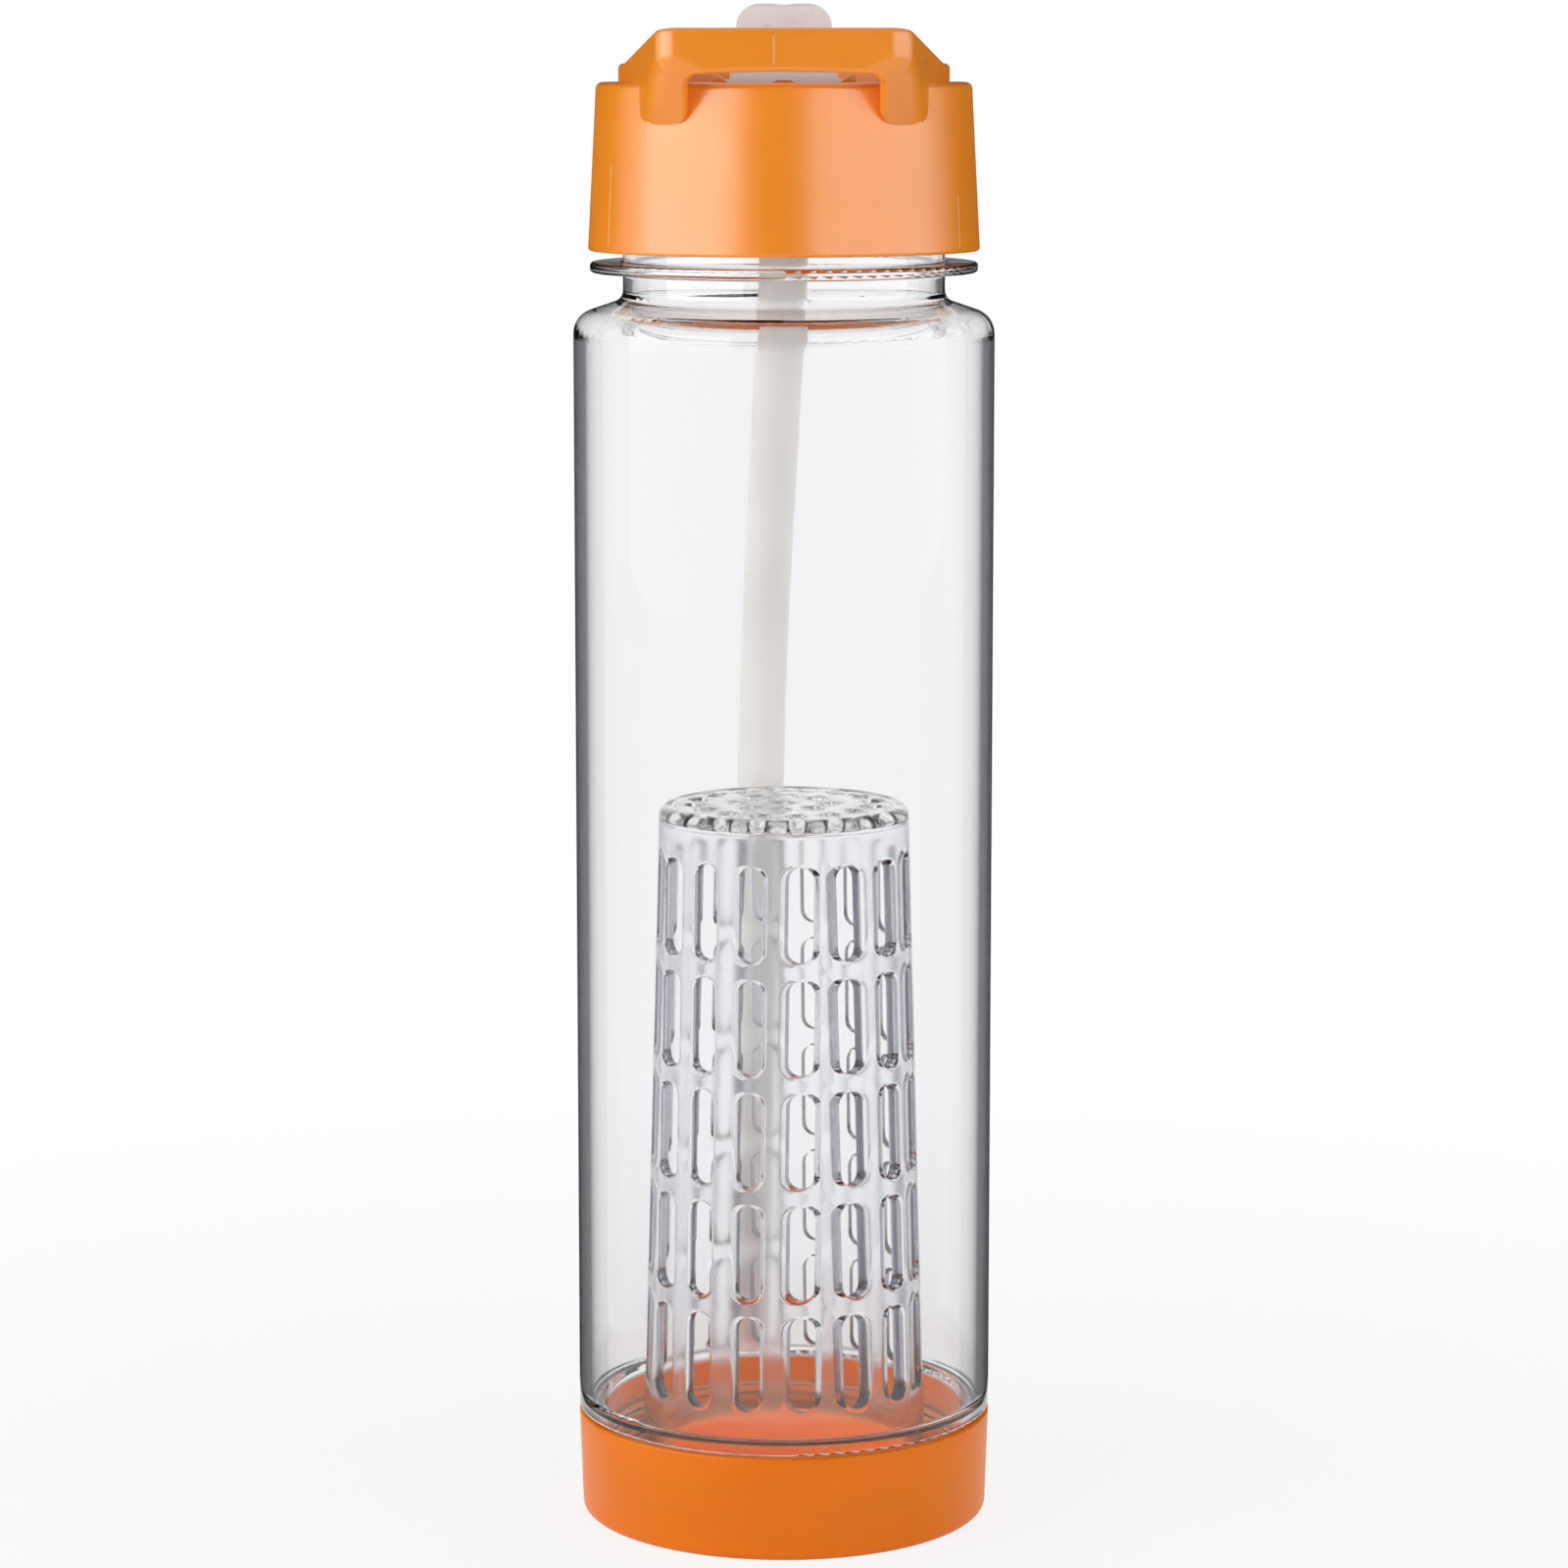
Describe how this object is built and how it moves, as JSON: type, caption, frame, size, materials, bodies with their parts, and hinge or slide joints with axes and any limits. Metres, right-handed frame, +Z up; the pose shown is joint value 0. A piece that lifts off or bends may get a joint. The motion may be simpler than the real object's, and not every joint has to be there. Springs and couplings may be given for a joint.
{
  "type": "fruit infuser water bottle",
  "caption": "Tall clear drinking bottle with a slotted fruit basket on a screw-on base, a screw lid with a carry loop, a flip-up spout and a straw.",
  "frame": {"origin": "centre of the circle that the base stands on", "axes": "+Z up along the bottle's axis, -Y towards the bar of the carry loop, +X to its right seen from the front"},
  "size_m": [0.072, 0.072, 0.262],
  "materials": {
    "clear_body": "polished clear copolyester",
    "clear_basket": "polished clear copolyester",
    "clear_spout": "clear soft-touch plastic",
    "orange_plastic": "smooth moulded orange polypropylene",
    "straw_plastic": "translucent natural polyethylene",
    "silicone": "soft translucent silicone"
  },
  "bodies": {
    "bottle": {"bottle_body": "clear_body"},
    "lid_ring": {"lid_gasket": "silicone"},
    "lid": {"lid_cap": "orange_plastic", "straw": "straw_plastic", "spout_seal": "silicone", "vent_valve": "silicone"},
    "spout": {"flip_spout": "clear_spout"},
    "base_ring": {"base_gasket": "silicone"},
    "base": {"base_cup": "orange_plastic"},
    "basket": {"infuser_basket": "clear_basket"}
  },
  "joints": [
    {"name": "lid_lift", "type": "slide", "parent": "bottle", "child": "lid_ring", "axis": [0, 0, 1], "range_m": [0, 0.005]},
    {"name": "lid_twist", "type": "hinge", "parent": "lid_ring", "child": "lid", "pos_m": [0, 0, 0.24], "axis": [0, 0, 1], "range_deg": [0, 450]},
    {"name": "spout_flip", "type": "hinge", "parent": "lid", "child": "spout", "pos_m": [0, 0, 0.24753], "axis": [-1, 0, 0], "range_deg": [0, 90]},
    {"name": "base_drop", "type": "slide", "parent": "bottle", "child": "base_ring", "axis": [0, 0, -1], "range_m": [0, 0.005]},
    {"name": "base_twist", "type": "hinge", "parent": "base_ring", "child": "base", "pos_m": [0, 0, 0.003], "axis": [0, 0, -1], "range_deg": [0, 450]},
    {"name": "basket_lift", "type": "slide", "parent": "base", "child": "basket", "axis": [0, 0, 1], "range_m": [0, 0.008]}
  ],
  "couplings": [
    {"joint": "lid_lift", "follows": "lid_twist", "m_per_rad": 0.00063662},
    {"joint": "base_drop", "follows": "base_twist", "m_per_rad": 0.00063662}
  ]
}
